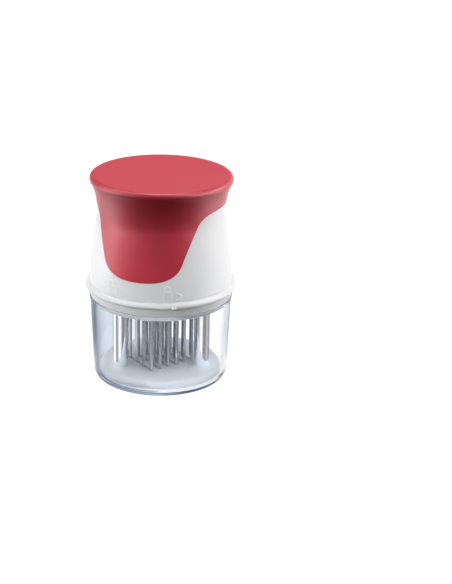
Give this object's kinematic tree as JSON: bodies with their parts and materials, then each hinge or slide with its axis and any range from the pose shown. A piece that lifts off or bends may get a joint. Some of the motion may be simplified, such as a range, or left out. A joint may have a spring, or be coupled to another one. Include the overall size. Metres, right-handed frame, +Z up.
{
  "type": "blade meat tenderizer",
  "caption": "Push-down meat tenderizer with a two-tone round grip, twist ring, clear storage cup and rows of blades that come out through a sprung slotted press plate.",
  "frame": {"origin": "middle of the cup's underside, on the surface that the tool stands on", "axes": "+Z up along the tool's axis; -Y towards the front tongue of the grip's cover; +X to the right seen from the front"},
  "size_m": [0.1094, 0.1094, 0.1521],
  "materials": {
    "clear_plastic": "clear, polished, faintly blue at the edges",
    "white_plastic": "fine satin moulded plastic",
    "red_soft_touch": "satin soft-touch cover",
    "grey_plastic": "plain moulded plastic",
    "plate_plastic": "smooth, slightly cool white",
    "blade_steel": "stamped stainless steel with ground edges",
    "tube_steel": "polished steel tube",
    "spring_steel": "drawn spring wire",
    "screw_steel": "plain steel"
  },
  "bodies": {
    "cup": {"clear_cup": "clear_plastic"},
    "ring": {"twist_ring": "white_plastic"},
    "grip": {"body_shell": "white_plastic", "grip_cover": "red_soft_touch", "blade_carrier": "white_plastic", "blade_row_1": "blade_steel", "blade_row_2": "blade_steel", "blade_row_3": "blade_steel", "blade_row_4": "blade_steel", "blade_row_5": "blade_steel", "blade_row_6": "blade_steel", "blade_clamp": "grey_plastic", "clamp_screws": "screw_steel", "carrier_screws": "screw_steel", "guide_post_1": "grey_plastic", "guide_post_2": "grey_plastic", "guide_post_3": "grey_plastic", "spring_1": "spring_steel", "spring_2": "spring_steel", "spring_3": "spring_steel"},
    "plate": {"press_plate": "plate_plastic", "guide_tube_1": "tube_steel", "guide_tube_2": "tube_steel", "guide_tube_3": "tube_steel", "stop_collar_1": "grey_plastic", "stop_collar_2": "grey_plastic", "stop_collar_3": "grey_plastic", "tube_plugs": "grey_plastic", "plate_screws": "screw_steel"}
  },
  "joints": [
    {"name": "cup_lift_off", "type": "slide", "parent": "cup", "child": "ring", "axis": [0, 0, 1], "range_m": [0, 0.08]},
    {"name": "grip_twist", "type": "hinge", "parent": "ring", "child": "grip", "pos_m": [0, 0, 0.0685], "axis": [0, 0, 1], "range_deg": [0, 45]},
    {"name": "plate_press", "type": "slide", "parent": "grip", "child": "plate", "axis": [0, 0, 1], "range_m": [0, 0.034], "stiffness_N_per_m": 1200, "springref_m": -0.01, "deforming": ["spring_1", "spring_2", "spring_3"]}
  ]
}
